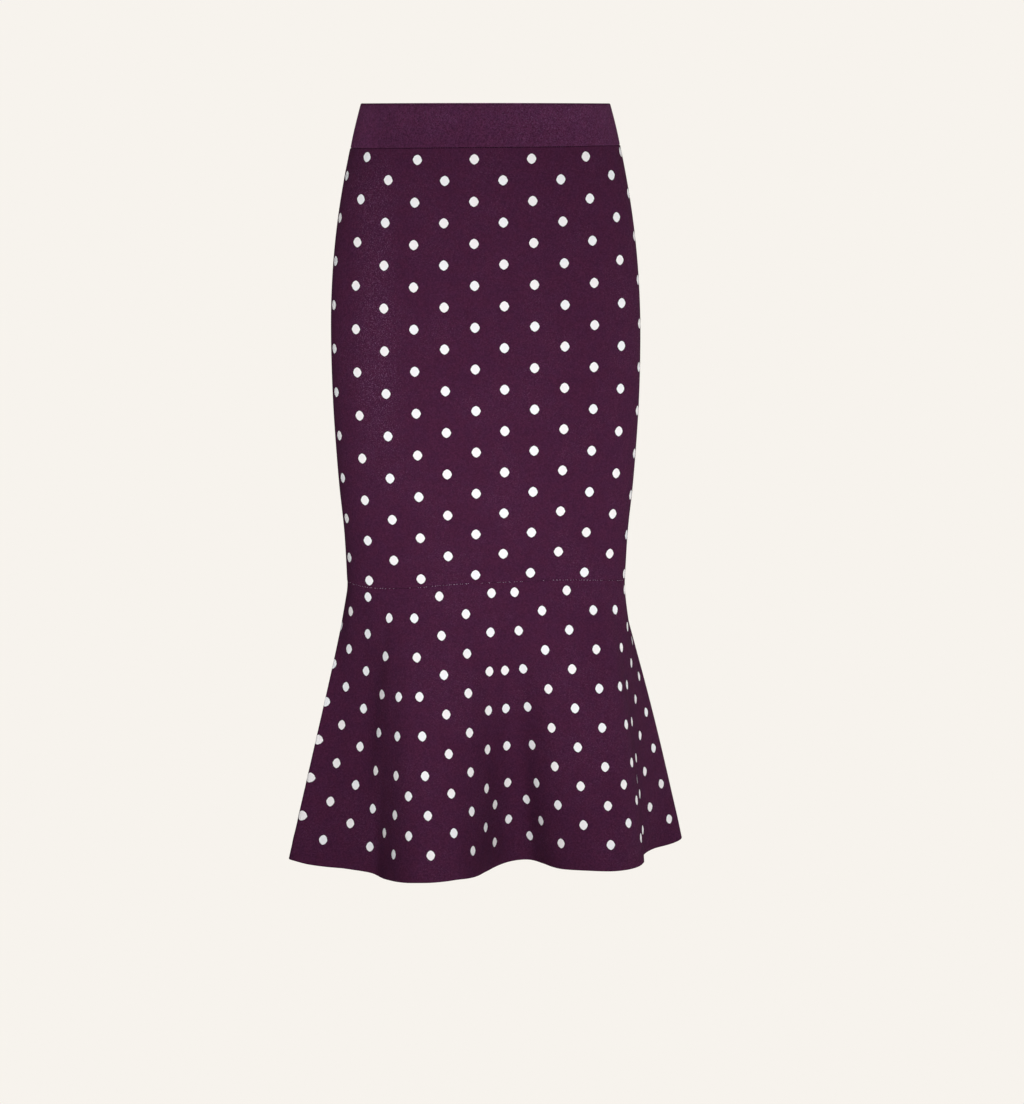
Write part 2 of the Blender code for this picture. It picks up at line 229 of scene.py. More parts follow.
def flounce_rows():
    """The flounce as a table of points, its rows from the knee seam to the hem."""
    s, x, y, belly, give, push = hem_line()
    along = np.arange(3000) / 3000 * ROUND_TOP
    share = along / ROUND_TOP
    knee = hang(share * COLUMNS)[1]
    start = section(BODY[-1][0], share * COLUMNS)
    foot = np.interp(along, TOP, FOOT)
    end = np.column_stack([np.interp(foot, s, x), np.interp(foot, s, y)])
    early = np.interp(foot, s, belly)
    longer = np.interp(foot, s, give)
    deeper = np.interp(foot, s, push)
    rows = []
    for down in np.linspace(0, 1, 121):
        grow = (np.sqrt(down ** 2 + EASE ** 2) - EASE) / (np.sqrt(1 + EASE ** 2) - EASE) + early * down * (1 - down)
        out = start + np.reshape(grow, (-1, 1)) * (end - start)
        out[:, 1] += deeper * sin(pi * down ** 0.8) ** 2
        reach = np.linalg.norm(out - start, axis=1)
        length = SLANT * down + longer * down * (2 - down)
        ring = np.column_stack([out, knee - np.sqrt(np.maximum(length ** 2 - reach ** 2, 0))])
        rows.append(rounded(ring, 0.0035 * min(1, down * 6)) if down > 0 else ring)
    return np.stack(rows)


FLOUNCE = flounce_rows()


def flounce_point(along, down):
    return lookup(FLOUNCE, down * 120, along / ROUND_TOP * 3000)


def flat_across(along, down):
    """Distance round the flat cut from the front centre, at this much of the way down. The godets widen slowly at first."""
    down = np.abs(down) ** 1.35
    turns = np.floor(along / ROUND_TOP)
    a = along - turns * ROUND_TOP
    return (1 - down) * (np.interp(a, TOP, TOP) + turns * TOP[-1]) + down * (np.interp(a, TOP, FOOT) + turns * FOOT[-1])


# ------------------------------------------------------------------------------------------------ relief
def bump(x, centre, half):
    """1 at the centre, falling smoothly to 0 at half a width either side."""
    t = np.clip(1 - np.abs(x - centre) / half, 0, 1)
    return t * t * (3 - 2 * t)


def ripple(x, seed, waves):
    """A slow uneven wave between about -1 and 1: (cycles per unit, weight) pairs, phases from the seed."""
    out = 0
    for k, (cycles, weight) in enumerate(waves):
        out = out + weight * np.sin(2 * pi * (cycles * x + ((seed * 0.7548 + k * 0.5698) % 1)))
    return out


# soft folds in the body: column, half width in columns, from, to (share of the way down), height in mm, lean in columns
BODY_FOLDS = [
    (-5.9, 1.2, -0.12, 0.68, 1.00, 0.1),
    (-4.9, 1.6, -0.10, 0.75, 0.50, 0.2),
    (-2.6, 1.8, 0.10, 0.90, -0.35, 0.3),
    (2.4, 1.9, 0.05, 0.80, -0.30, -0.2),
    (5.2, 1.5, 0.20, 1.00, 0.35, -0.3),
    (9.6, 1.7, -0.05, 0.70, 0.45, 0.2),
    (12.4, 1.9, 0.15, 0.95, -0.40, -0.3),
    (15.6, 1.6, 0.00, 0.80, 0.40, 0.3),
    (17.4, 1.4, 0.25, 1.00, -0.30, 0.1),
]


def body_relief(column, down):
    out = np.zeros_like(down)
    c = np.mod(column + 9.0, COLUMNS) - 9.0
    for at, half, first, last, high, lean in BODY_FOLDS:
        span = np.clip((down - first) / (last - first), 0, 1)
        out += high / 1000 * np.sin(pi * span) ** 1.5 * bump(c, at + lean * (span - 0.5) * 2, half)
    near_waist = np.exp(-((down * BODY_LENGTH) / 0.010) ** 2)
    near_knee = np.exp(-(((1 - down) * BODY_LENGTH) / 0.012) ** 2)
    pull = ripple(column, 3, [(0.9, 0.5), (1.7, 0.35), (2.9, 0.25)])
    out += 0.00016 * near_waist * pull
    out += 0.00022 * near_knee * ripple(column, 8, [(0.7, 0.5), (1.3, 0.4), (2.3, 0.3)])
    return out


# soft folds in the flounce: mark on the cut, half width in marks, from, to (share of the way down), height in mm, lean
FLOUNCE_FOLDS = [
    (23.55, 0.75, -0.20, 0.50, -1.60, -0.15),
    (24.50, 0.70, -0.15, 0.55, 1.20, 0.10),
    (28.30, 0.80, 0.10, 0.80, 0.60, 0.20),
    (26.40, 0.90, 0.35, 1.10, -0.70, -0.20),
    (2.60, 0.90, 0.25, 1.00, -0.50, 0.20),
    (3.70, 0.80, 0.45, 1.15, 0.60, -0.15),
    (6.60, 0.70, 0.05, 0.70, 0.70, 0.10),
    (9.60, 0.80, -0.10, 0.60, -0.90, 0.20),
    (11.30, 1.00, 0.30, 1.10, 0.80, -0.20),
    (13.80, 0.80, 0.00, 0.75, -0.80, -0.15),
    (15.40, 1.10, 0.35, 1.10, 0.70, 0.25),
    (17.60, 0.80, -0.10, 0.65, -1.00, 0.10),
    (19.50, 1.00, 0.30, 1.05, 0.80, -0.20),
    (21.30, 0.70, 0.00, 0.60, -0.70, 0.10),
]


def flounce_relief(along, down):
    a = np.mod(along, ROUND_TOP)
    column = a / ROUND_TOP * COLUMNS
    mark = np.interp(a, TOP, np.arange(len(TOP)))
    edge = down * SLANT
    out = 0.00022 * np.exp(-(edge / 0.012) ** 2) * ripple(column, 8, [(0.7, 0.5), (1.3, 0.4), (2.3, 0.3)])
    for at, half, first, last, high, lean in FLOUNCE_FOLDS:
        span = np.clip((down - first) / (last - first), 0, 1)
        out += high / 1000 * np.sin(pi * span) ** 1.5 * bump(mark, at + lean * (span - 0.5) * 2, half) * np.clip(down * 12, 0, 1)
    # the hem ripples very slightly between the flutes
    low = np.clip((down - 0.55) / 0.45, 0, 1)
    out += 0.00030 * low ** 2 * ripple(flat_across(a, down), 5, [(14, 0.5), (23, 0.35), (41, 0.2)])
    return out


def band_relief(column, down):
    """The waistband: soft elastic inside, so it's a little fuller in the middle and very faintly uneven."""
    full = 0.00035 * (1 - (2 * (down + 0.5)) ** 2)
    return full + 0.00012 * ripple(column, 2, [(0.45, 0.5), (1.1, 0.3), (2.1, 0.2)])


# ------------------------------------------------------------------------------------------------ shells
def normals(grid):
    du = np.gradient(grid, axis=1)
    dv = np.gradient(grid, axis=0)
    n = np.cross(dv, du)
    return n / np.maximum(np.linalg.norm(n, axis=-1), 1e-12)[..., None]


def round_in(edge, radius, half):
    """How far the face sinks near an edge of the cloth: rounded off over the radius, and closed right at the edge."""
    t = np.clip(1 - edge / radius, 0, 1)
    return np.where(edge < 1e-7, half, radius * (1 - np.sqrt(np.maximum(1 - t * t, 0))))


def shell(name, point, across, downs, thickness, relief, edges, knit_uv, dots, materials):
    """A closed cloth shell. Its outer face is point(across, down) with the relief; the inner face is one thickness in,
    and the two run together in a round at every edge. edges has the distance to an edge, and its round's radius.
    dots is (centres, offset, measure) for the second UV map."""
    nu, nv = len(across), len(downs)
    u, v = np.meshgrid(across, downs)
    base = point(u, v)
    base = base + normals(base) * relief(u, v)[..., None]
    n = normals(base)
    half = thickness / 2
    sink = np.max([round_in(far(u, v), radius, half) for far, radius in edges], axis=0)
    outer = base - n * sink[..., None]
    inner = base - n * (thickness - sink)[..., None]
    outer[..., 1] += WAIST_SHIFT
    inner[..., 1] += WAIST_SHIFT
    outer_id = np.arange(nu * nv).reshape(nv, nu)
    inner_id = outer_id.copy()
    inside = np.zeros((nv, nu), bool)
    inside[1:-1, 1:-1] = True
    inner_id[inside] = nu * nv + np.arange(inside.sum())
    verts = np.vstack([outer.reshape(-1, 3), inner[inside]])
    a, b, c, d = outer_id[:-1, :-1], outer_id[:-1, 1:], outer_id[1:, 1:], outer_id[1:, :-1]
    front = np.stack([a, d, c, b], -1).reshape(-1, 4)
    a, b, c, d = inner_id[:-1, :-1], inner_id[:-1, 1:], inner_id[1:, 1:], inner_id[1:, :-1]
    back = np.stack([a, b, c, d], -1).reshape(-1, 4)
    mesh = bpy.data.meshes.new(name)
    mesh.from_pydata(verts, [], np.vstack([front, back]))
    ob = bpy.data.objects.new(name, mesh)
    bpy.context.scene.collection.objects.link(ob)
    for m in materials:
        mesh.materials.append(m)
    mesh.polygons.foreach_set("material_index", np.repeat([0, 1], [len(front), len(back)]).astype(np.int32))
    mesh.shade_smooth()

    # the maps: where each corner is in the knit, and how far it is from the middle of its nearest dot
    def corners(grid, turned):
        a, b, c, d = grid[:-1, :-1], grid[:-1, 1:], grid[1:, 1:], grid[1:, :-1]
        return np.stack([a, b, c, d] if turned else [a, d, c, b], 2)
    uc = (u[:-1, :-1] + u[:-1, 1:]) / 2
    both = []
    for turned in (False, True):
        cu, cv = corners(u, turned), corners(v, turned)
        middle = np.broadcast_to(uc[..., None], cu.shape)
        both.append(knit_uv(cu, cv, middle).reshape(-1, 2))
    layer = mesh.uv_layers.new(name="Knit")
    layer.uv.foreach_set("vector", np.vstack(both).astype(np.float32).ravel())
    if dots is not None:
        centres, apart, measure = dots
        vc = (v[:-1, :-1] + v[1:, :-1]) / 2
        best = np.full(uc.shape, np.inf)
        pick = np.zeros(uc.shape, int)
        for k, (du, dv) in enumerate(centres):
            ds, dt = apart(uc, vc, du, dv)
            r = ds * ds + dt * dt
            near = r < best
            best[near], pick[near] = r[near], k
        both = []
        for turned in (False, True):
            cu, cv = corners(u, turned), corners(v, turned)
            k = np.broadcast_to(pick[..., None], cu.shape)
            ds, dt = apart(cu, cv, centres[k, 0], centres[k, 1])
            mat = measure[k]
            both.append(np.stack([ds * mat[..., 0], dt * mat[..., 2] + ds * mat[..., 1]], -1).reshape(-1, 2))
        layer = mesh.uv_layers.new(name="Dot")
        layer.uv.foreach_set("vector", np.vstack(both).astype(np.float32).ravel())
    return ob


def measures(centres, point, apart, step):
    """For each dot, how the flat cloth's two directions lie on the surface there: width, shear and length."""
    u, v = centres[:, 0], centres[:, 1]
    su, sv = step
    wide = point(u + su, v) - point(u - su, v)
    tall = point(u, v + sv) - point(u, v - sv)
    ds = apart(u + su, v, u - su, v)[0]
    dt = apart(u, v + sv, u, v - sv)[1]
    wide, tall = wide / ds[:, None], tall / dt[:, None]
    mt = np.linalg.norm(tall, axis=1)
    shear = (wide * tall).sum(1) / mt
    across = np.sqrt(np.maximum((wide ** 2).sum(1) - shear ** 2, 1e-6))
    return np.column_stack([np.clip(across, 0.7, 1.3), np.clip(shear, -0.6, 0.6), np.clip(mt, 0.8, 1.2)])


# ------------------------------------------------------------------------------------------------ materials
def linear(*rgb):
    return tuple((c / 255 / 12.92) if c <= 10.3 else (((c / 255) + 0.055) / 1.055) ** 2.4 for c in rgb)


class Graph:
    def __init__(self, name):
        self.mat = bpy.data.materials.new(name)
        self.mat.use_nodes = True
        self.tree = self.mat.node_tree
        self.tree.nodes.clear()

    def node(self, kind, **settings):
        n = self.tree.nodes.new(kind)
        for key, value in settings.items():
            setattr(n, key, value)
        return n

    def put(self, socket, value):
        if isinstance(value, bpy.types.NodeSocket):
            self.tree.links.new(value, socket)
        elif isinstance(value, tuple) and len(value) == 3 and socket.type == "RGBA":
            socket.default_value = (*value, 1)
        else:
            socket.default_value = value

    def math(self, op, *values, clamp=False):
        n = self.node("ShaderNodeMath", operation=op, use_clamp=clamp)
        for socket, value in zip(n.inputs, values):
            self.put(socket, value)
        return n.outputs[0]

    def add(self, a, b):
        return self.math("ADD", a, b)

    def sub(self, a, b):
        return self.math("SUBTRACT", a, b)

    def mul(self, a, b):
        return self.math("MULTIPLY", a, b)

    def div(self, a, b):
        return self.math("DIVIDE", a, b)

    def ramp(self, value, low, high, to_low=0.0, to_high=1.0):
        n = self.node("ShaderNodeMapRange", interpolation_type="SMOOTHSTEP")
        for name, x in (("Value", value), ("From Min", low), ("From Max", high), ("To Min", to_low), ("To Max", to_high)):
            self.put(n.inputs[name], x)
        return n.outputs[0]

    def colour(self, factor, a, b, blend="MIX"):
        n = self.node("ShaderNodeMix", data_type="RGBA", blend_type=blend)
        self.put(n.inputs[0], factor)
        self.put(n.inputs[6], a)
        self.put(n.inputs[7], b)
        return n.outputs[2]

    def scaled(self, colour, value):
        """A colour times a number."""
        n = self.node("ShaderNodeVectorMath", operation="SCALE")
        self.put(n.inputs[0], colour)
        self.put(n.inputs["Scale"], value)
        return n.outputs[0]

    def vector(self, x, y, z=0.0):
        n = self.node("ShaderNodeCombineXYZ")
        for socket, value in zip(n.inputs, (x, y, z)):
            self.put(socket, value)
        return n.outputs[0]

    def map(self, name):
        n = self.node("ShaderNodeUVMap", uv_map=name)
        s = self.node("ShaderNodeSeparateXYZ")
        self.put(s.inputs[0], n.outputs[0])
        return s.outputs[0], s.outputs[1]

    def noise(self, vector, scale, detail=2.0, rough=0.5):
        n = self.node("ShaderNodeTexNoise")
        self.put(n.inputs["Vector"], vector)
        self.put(n.inputs["Scale"], scale)
        self.put(n.inputs["Detail"], detail)
        self.put(n.inputs["Roughness"], rough)
        return n.outputs[0]

    def chance(self, vector):
        n = self.node("ShaderNodeTexWhiteNoise", noise_dimensions="3D")
        self.put(n.inputs[0], vector)
        return n.outputs[0]

    def place(self):
        return self.node("ShaderNodeTexCoord").outputs["Object"]

    def finish(self, colour, rough, height, distance, strength=1.0, specular=0.1, sheen=0.0, sheen_tint=(1, 1, 1)):
        bsdf = self.node("ShaderNodeBsdfPrincipled")
        out = self.node("ShaderNodeOutputMaterial")
        self.put(bsdf.inputs["Base Color"], colour)
        self.put(bsdf.inputs["Roughness"], rough)
        self.put(bsdf.inputs["Specular IOR Level"], specular)
        self.put(bsdf.inputs["Sheen Weight"], sheen)
        self.put(bsdf.inputs["Sheen Roughness"], 0.6)
        self.put(bsdf.inputs["Sheen Tint"], sheen_tint)
        if height is not None:
            b = self.node("ShaderNodeBump")
            b.inputs["Strength"].default_value = strength
            b.inputs["Distance"].default_value = distance
            self.put(b.inputs["Height"], height)
            self.put(bsdf.inputs["Normal"], b.outputs[0])
        self.put(out.inputs[0], bsdf.outputs[0])
        return self.mat


def stitches(g, wale, course, lean=0.9):
    """Stockinette: two leaning legs to each wale. Gives the height, and the stitch's own number as a vector."""
    s, t = g.map("Knit")
    w = g.div(s, wale)
    wale_no = g.math("FLOOR", w)
    side = g.math("ABSOLUTE", g.sub(g.sub(w, wale_no), 0.5))
    c = g.add(g.div(t, course), g.mul(side, lean))
    course_no = g.math("FLOOR", c)
    up = g.sub(g.sub(c, course_no), 0.5)
    leg = g.div(g.sub(side, 0.25), 0.27)
    leg = g.math("SQRT", g.math("MAXIMUM", g.sub(1.0, g.mul(leg, leg)), 0.0))
    row = g.add(0.5, g.mul(0.5, g.math("COSINE", g.mul(up, 2 * pi))))
    height = g.mul(leg, g.add(0.4, g.mul(0.6, row)))
    return height, g.vector(wale_no, course_no), s, t


def knit_face(name, plum, other, pale=None, wale=WALE, course=COURSE, speck=0.14, heather=0.34, depth=0.00030,
              sheen=0.015, lint_and_sheen=0.22, band=False):
    """The right side of the knit: yarn of two close shades in small clouds. With pale, it carries the dots."""
    g = Graph(name)
    height, stitch, s, t = stitches(g, wale, course)
    one = g.chance(stitch)
    place = g.place()
    cloud = g.noise(place, 34.0, 3.0, 0.55)
    blend = g.noise(place, 90.0, 2.0, 0.6)
    fine = g.noise(place, 430.0, 3.0, 0.65)
    fuzz = g.noise(place, 2600.0, 2.0, 0.6)
    # painted shade: the colour is darker down in the grooves between the stitch legs and lighter on their tops
    value = g.add(0.80, g.mul(0.30, height))
    value = g.mul(value, g.add(1 - speck, g.mul(2 * speck, one)))
    value = g.mul(value, g.add(0.93, g.mul(0.14, cloud)))
    value = g.mul(value, g.add(1 - heather, g.mul(2 * heather, fine)))
    colour = g.scaled(g.colour(g.ramp(blend, 0.35, 0.65), plum, other), value)
    # loose lilac fibres, with more of them in a strip down the side of the front and towards the right and top of the
    # waistband; these strips are partly a painted highlight, lighter fibres standing in for light caught there
    axes = g.node("ShaderNodeSeparateXYZ")
    g.put(axes.inputs[0], place)
    x, y, z = axes.outputs
    if band:
        lint_sheen_band = g.add(g.mul(g.ramp(x, -0.03, 0.06), 0.6), g.mul(g.ramp(z, -0.034, -0.012), 0.3))
        # painted highlight: the waistband's colour is lightened towards both ends, where it turns away at the sides and
        # catches sheen, and is a little lighter towards its top
        colour = g.scaled(colour, g.mul(g.add(g.ramp(x, 0.02, 0.11, 1.0, 1.10), g.ramp(x, -0.098, -0.132, 0.0, 0.35)),
                                        g.ramp(z, -0.040, -0.010, 0.95, 1.02)))
        colour = g.scaled(colour, g.ramp(z, -0.0034, -0.0016, 1.0, 0.72))     # painted shade: a darker line along the top fold, where the cloth turns over
    else:
        # painted highlight, partly real lint: extra lilac fibres in a strip down the left of the front lighten it as if
        # light fell there
        lint_sheen_band = g.mul(g.ramp(g.math("ABSOLUTE", g.add(x, 0.114)), 0.030, 0.006), g.ramp(y, 0.02, -0.02))
        lint_sheen_band = g.mul(lint_sheen_band, g.mul(g.ramp(z, -0.46, -0.28), g.ramp(z, -0.04, -0.09)))
    patch = g.ramp(g.noise(place, 14.0, 2.0, 0.6), 0.42, 0.66)
    lint_sheen_zone = g.add(g.mul(patch, 0.45), g.add(0.15, g.mul(lint_sheen_band, 1.1)))
    fibre = g.ramp(g.noise(place, 950.0, 3.0, 0.75), 0.50, 0.72)
    colour = g.colour(g.mul(g.mul(fibre, lint_sheen_zone), lint_and_sheen), colour, LINT_AND_SHEEN)
    if pale is not None:
        dx, dy = g.map("Dot")
        # the edge of a dot steps a little from stitch to stitch
        px = g.math("ROUND", g.div(dx, wale))
        lean = g.mul(g.math("ABSOLUTE", g.sub(g.div(dx, wale), px)), 0.9)
        py = g.math("ROUND", g.add(g.div(dy, course), g.sub(lean, 0.22)))

        def reach(x, y, power):
            x, y = (g.math("POWER", g.math("ABSOLUTE", k), power) for k in (x, y))
            return g.math("POWER", g.add(x, y), 1 / power)

        stepped = reach(g.div(px, DOT_WIDE / 2 / wale), g.div(py, DOT_TALL / 2 / course), 1.8)
        even = reach(g.div(dx, DOT_WIDE / 2), g.div(dy, DOT_TALL / 2), 1.72)
        far = g.add(g.mul(0.25, stepped), g.mul(0.75, even))
        ring = g.ramp(even, 1.26, 1.02)
        dot = g.ramp(far, 1.03, 0.97)
        colour = g.scaled(colour, g.sub(1.0, g.mul(0.25, ring)))
        tint = g.ramp(g.noise(place, 31.0, 1.0, 0.5), 0.42, 0.58)
        # the dots' white is also painted a little darker in the stitch grooves (painted shade)
        white = g.scaled(g.colour(tint, pale, PALE_WARM), g.mul(g.add(0.95, g.mul(0.06, height)), g.add(0.98, g.mul(0.03, one))))
        colour = g.colour(dot, colour, white)
        height = g.add(height, g.mul(0.5, dot))
    height = g.add(height, g.mul(0.35, fuzz))
    return g.finish(colour, 0.9, height, depth, strength=0.6, specular=0.02, sheen=sheen, sheen_tint=(0.9, 0.40, 0.75))


def knit_reverse(name, plum, fleck, share, wale=WALE, course=COURSE):
    """The wrong side: purl bumps, and where the cloth is two-coloured both yarns in a fine birdseye."""
    g = Graph(name)
    s, t = g.map("Knit")
    w = g.div(s, wale)
    wale_no = g.math("FLOOR", w)
    odd = g.math("PINGPONG", wale_no, 1.0)
    c = g.add(g.div(t, course), g.mul(odd, 0.5))
    course_no = g.math("FLOOR", c)
    up = g.sub(g.sub(c, course_no), 0.5)
    over = g.sub(g.sub(w, wale_no), 0.5)
    arch = g.mul(g.math("COSINE", g.mul(up, pi)), g.math("COSINE", g.mul(over, pi * 0.9)))
    one = g.chance(g.vector(wale_no, course_no))
    cloud = g.noise(g.place(), 45.0, 2.0, 0.5)
    # painted shade: darker between the purl bumps, lighter on their tops
    value = g.mul(g.add(0.62, g.mul(0.5, arch)), g.add(0.88, g.mul(0.24, one)))
    value = g.mul(value, g.add(0.93, g.mul(0.14, cloud)))
    colour = g.scaled(plum, value)
    if share:
        eye = g.math("PINGPONG", g.add(course_no, wale_no), 1.0)
        mixed = g.mul(g.ramp(g.add(g.mul(eye, 0.6), g.mul(one, 0.4)), 0.60, 0.72), share)
        colour = g.colour(mixed, colour, g.scaled(fleck, value))
    return g.finish(colour, 0.92, arch, 0.0004, strength=0.8, specular=0.1, sheen=0.05, sheen_tint=(0.9, 0.7, 0.8))


PLUM, PLUM_WARM = linear(65.5, 29, 55.5), linear(68, 29, 54.5)
BAND_PLUM, BAND_WARM = linear(73.8, 34.8, 64.2), linear(76.3, 34.8, 63.2)
PALE, PALE_WARM = linear(242, 243, 246), linear(245, 242, 243)
FLECK = linear(150, 135, 150)
# lilac fibre colour; it also paints the highlight strips on the front and the waistband
LINT_AND_SHEEN = linear(166, 118, 162)
THREAD = linear(196, 166, 192)

dotted = knit_face("dotted_knit", PLUM, PLUM_WARM, PALE)
reverse = knit_reverse("dotted_knit_reverse", PLUM, FLECK, 0.55)
plain = knit_face("plain_knit", BAND_PLUM, BAND_WARM, wale=0.00112, course=0.00094, speck=0.20, heather=0.70, depth=0.00022,
                  sheen=0.03, lint_and_sheen=0.27, band=True)


# ------------------------------------------------------------------------------------------------ the panels
SEAM = 0.00006                       # what shows between two panels
EDGE = [0, 0.00012, 0.00030, 0.00055, 0.00085, 0.00120, 0.00180, 0.0030]


def marks_between(first, last, most):
    """Even steps from first to last, none longer than most."""
    return list(np.linspace(first, last, max(1, int(np.ceil(abs(last - first) / most))) + 1))


def with_edges(stops, unit, most, both=(True, True), edge=EDGE):
    """Positions through all the stops, with close ones at the two ends. unit is metres per step of the position."""
    out = []
    stops = list(stops)
    low = [stops[0] + e / unit for e in edge] if both[0] else [stops[0]]
    high = [stops[-1] - e / unit for e in edge][::-1] if both[1] else [stops[-1]]
    inner = [low[-1]] + [x for x in stops[1:-1] if low[-1] + most * 0.3 < x < high[0] - most * 0.3] + [high[0]]
    out = low[:-1]
    for a, b in zip(inner[:-1], inner[1:]):
        out += marks_between(a, b, most)[:-1]
    return np.array(out + high)


def body_knit(u, v, middle):
    return np.stack([u * COLUMN_WIDTH, np.where(v < 0, v * 0.0465, v * BODY_LENGTH)], -1)


def body_apart(u, v, du, dv):
    return (u - du) * COLUMN_WIDTH, (v - dv) * BODY_LENGTH


body_dots = np.array([(c, ROW_FIRST + ROW_PITCH * j) for c in range(-13, 40) for j in range(ROWS)
                      if (c % 2 == 1) == (j % 2 == 0)], float)
# the cloth is drawn up a little at the waist and down below the hip, more of it towards the side seams
_from_middle = np.abs(np.mod(body_dots[:, 0] + 13.5, COLUMNS) - 13)
_pull = 0.0020 * np.clip(np.minimum(_from_middle - 2.8, 11.6 - _from_middle), 0, 2.8)
_left = np.mod(body_dots[:, 0] + 13, COLUMNS) - 13
_left = np.clip(np.minimum(_left + 6.5, 0.2 - _left), 0, 1)
body_dots[:, 0] += 0.055 * _left * np.sin(pi * np.clip(body_dots[:, 1], 0, 1))          # and the wales bow a little there
body_dots[:, 1] += _pull * smooth([-1, 0, 0.12, 0.45, 0.75, 1.0], [-0.8, -0.8, -1.0, 0.0, 1.0, 0.4], np.clip(body_dots[:, 1], 0, 1)) / BODY_LENGTH
body_measure = measures(body_dots, body_point, body_apart, (0.15, 0.008))
body_measure[:, 0] /= STRETCHED

column_unit = ROUND_TOP / COLUMNS     # the narrowest level sets the gaps
half_seam = SEAM / 2 / column_unit


def body_panel(name, first, last):
    across = with_edges([first, last], column_unit, 0.12)
    downs = with_edges([SEAM / BODY_LENGTH, 1 - SEAM / BODY_LENGTH], BODY_LENGTH, 0.0085)
    wide = lambda u, v: np.linalg.norm(np.gradient(body_point(u, v), axis=1), axis=-1) / np.gradient(u, axis=1)
    sides = lambda u, v: np.minimum(u - across[0], across[-1] - u) * wide(u, v)
    top = lambda u, v: (v - downs[0]) * BODY_LENGTH
    low = lambda u, v: (downs[-1] - v) * BODY_LENGTH
    near = body_dots[(body_dots[:, 0] > first - 2) & (body_dots[:, 0] < last + 2)]
    pick = (body_dots[:, 0] > first - 2) & (body_dots[:, 0] < last + 2)
    return shell(name, body_point, across, downs, KNIT, body_relief, [(sides, 0.0005), (top, 0.0009), (low, 0.00010)], body_knit,
                 (near, body_apart, body_measure[pick]), [dotted, reverse])


body_front = body_panel("skirt_body_front", -SIDE + half_seam, SIDE - half_seam)
body_back = body_panel("skirt_body_back", SIDE + half_seam, COLUMNS - SIDE - half_seam)

# the waistband, a strip right round with its ends meeting at the side seam on -X
band_across = with_edges([-SIDE + half_seam, COLUMNS - SIDE - half_seam], column_unit, 0.12)
band_downs = with_edges([-1.0, -SEAM / 0.045], 0.045, 0.075, edge=[0, 0.00010, 0.00030, 0.00060, 0.0010, 0.0015, 0.0022, 0.0034])
waistband = shell(
    "skirt_waistband", body_point, band_across, band_downs, BAND, band_relief,
    [(lambda u, v: np.minimum(u - band_across[0], band_across[-1] - u) * column_unit, 0.0006),
     (lambda u, v: (v - band_downs[0]) * 0.0455, BAND / 2), (lambda u, v: (band_downs[-1] - v) * 0.0455, 0.0011)],
    body_knit, None, [plain, plain])


# the flounce
GODET_MIDDLE = [0.0]                      # along the knee seam line, at the middle of each godet
_n = 0
for _columns, _ in GORES:
    _n += _columns
    GODET_MIDDLE.append((TOP[_n] + TOP[_n + 1]) / 2 if _n + 1 < len(TOP) - 1 else ROUND_TOP)
GODET_MIDDLE = np.array(GODET_MIDDLE)
GORE_MIDDLE = (GODET_MIDDLE[1:] + GODET_MIDDLE[:-1]) / 2


def flounce_knit(u, v, middle):
    """Each gore's wales run straight down it, from the middle of the godet before it to the middle of the one after."""
    turns = np.floor(middle / ROUND_TOP)
    a = middle - turns * ROUND_TOP
    gore = np.clip(np.searchsorted(GODET_MIDDLE, a, side="right") - 1, 0, len(GORE_MIDDLE) - 1)
    centre = GORE_MIDDLE[gore] + turns * ROUND_TOP
    return np.stack([flat_across(u, v) - flat_across(centre, v) + np.round(centre / WALE / 4) * WALE * 4, v * SLANT], -1)


def flounce_apart(u, v, du, dv):
    return flat_across(u, v) - flat_across(du + 0 * u, v), (v - dv) * SLANT


def flounce_dots():
    rows = {"a": [A_FIRST + HALF_PITCH_ROW * k for k in range(7)], "b": [B_FIRST + HALF_PITCH_ROW * k for k in range(7)]}
    out, mark = [], 1
    for gore, phases in enumerate(PHASES):
        for p in phases:
            out += [(TOP[mark], t / SLANT) for t in rows[p]]
            mark += 1
        last = phases[-1]
        after = PHASES[(gore + 1) % len(PHASES)][0]
        middle = GODET_MIDDLE[gore + 1]
        low, high = TOP[mark - 1], (TOP[mark] if gore < len(PHASES) - 1 else ROUND_TOP + GODET_TOP / 2)
        assert last == after
        other = "b" if last == "a" else "a"
        out += [(middle, t / SLANT) for t in rows[last][2:]]
        for side, place in enumerate((low + (high - low) / 4, low + (high - low) * 3 / 4)):
            first = 6 if gore == len(PHASES) - 2 and side == 0 else 5
            out += [(place, t / SLANT) for t in rows[other][first:]]
    out = np.array(out)
    out[:, 0] = np.mod(out[:, 0], ROUND_TOP)
    return np.vstack([out - [ROUND_TOP, 0], out, out + [ROUND_TOP, 0]])


dots_f = flounce_dots()
measure_f = measures(dots_f, flounce_point, flounce_apart, (0.0015, 0.008))

side_right = (TOP[8] + TOP[9]) / 2
side_left = (TOP[21] + TOP[22]) / 2 - ROUND_TOP


